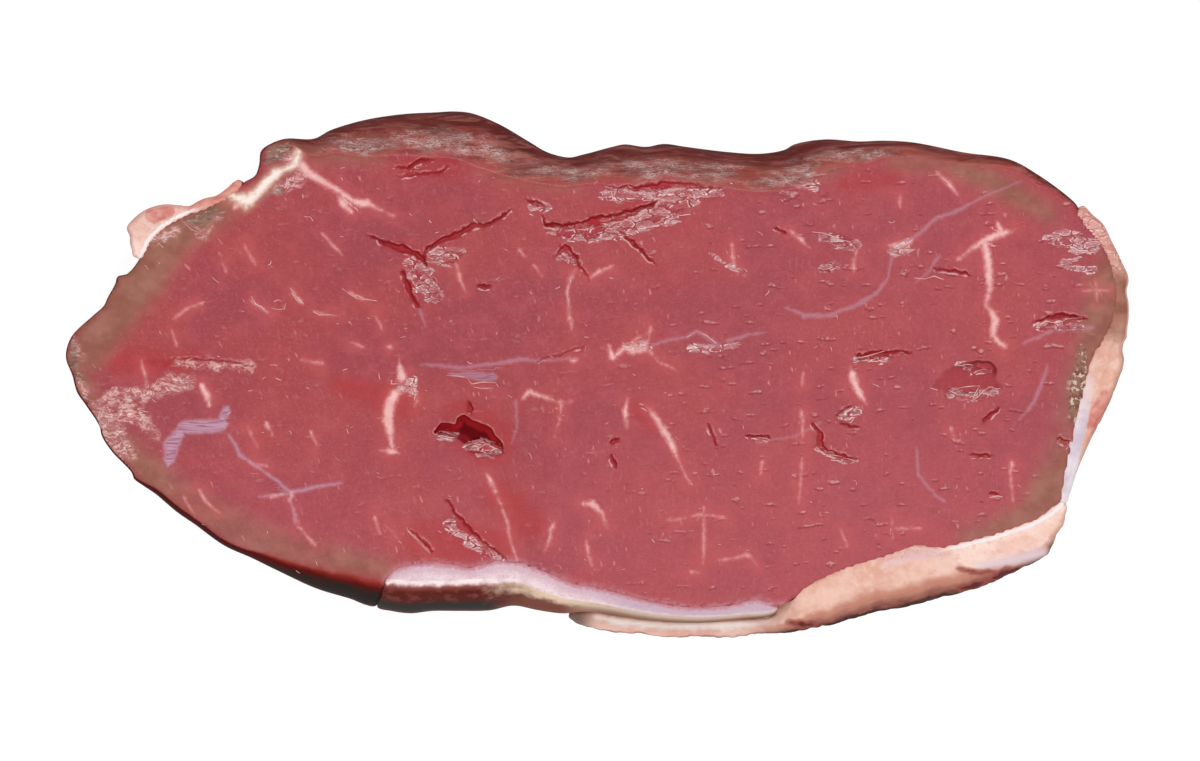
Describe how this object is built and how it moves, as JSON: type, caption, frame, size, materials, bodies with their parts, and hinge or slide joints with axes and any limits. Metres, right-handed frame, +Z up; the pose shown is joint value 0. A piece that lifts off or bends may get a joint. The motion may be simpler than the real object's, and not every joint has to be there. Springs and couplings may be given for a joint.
{
  "type": "raw rump steak",
  "caption": "Thick raw beef steak with a coarse-grained lean face, a gristle band and a fat cap along one long side, a thin fat edge at one end and small tears and a hole in the cut face",
  "frame": {"origin": "under the middle of the bounding box, on the surface the steak lies on", "axes": "+X along the steak's length towards the fat edge, +Y away from the fat cap, +Z up through the thickness"},
  "size_m": [0.215, 0.1072, 0.0205],
  "materials": {
    "lean": "moist raw muscle, dull red to pink, semi-gloss",
    "gristle": "moist pale sinew, semi-gloss",
    "fat": "cold white to pinkish fat, satin"
  },
  "bodies": {
    "root": {"lean": "lean", "gristle_band": "gristle", "fat_cap": "fat", "fat_edge": "fat", "fat_lip": "fat"}
  },
  "joints": []
}
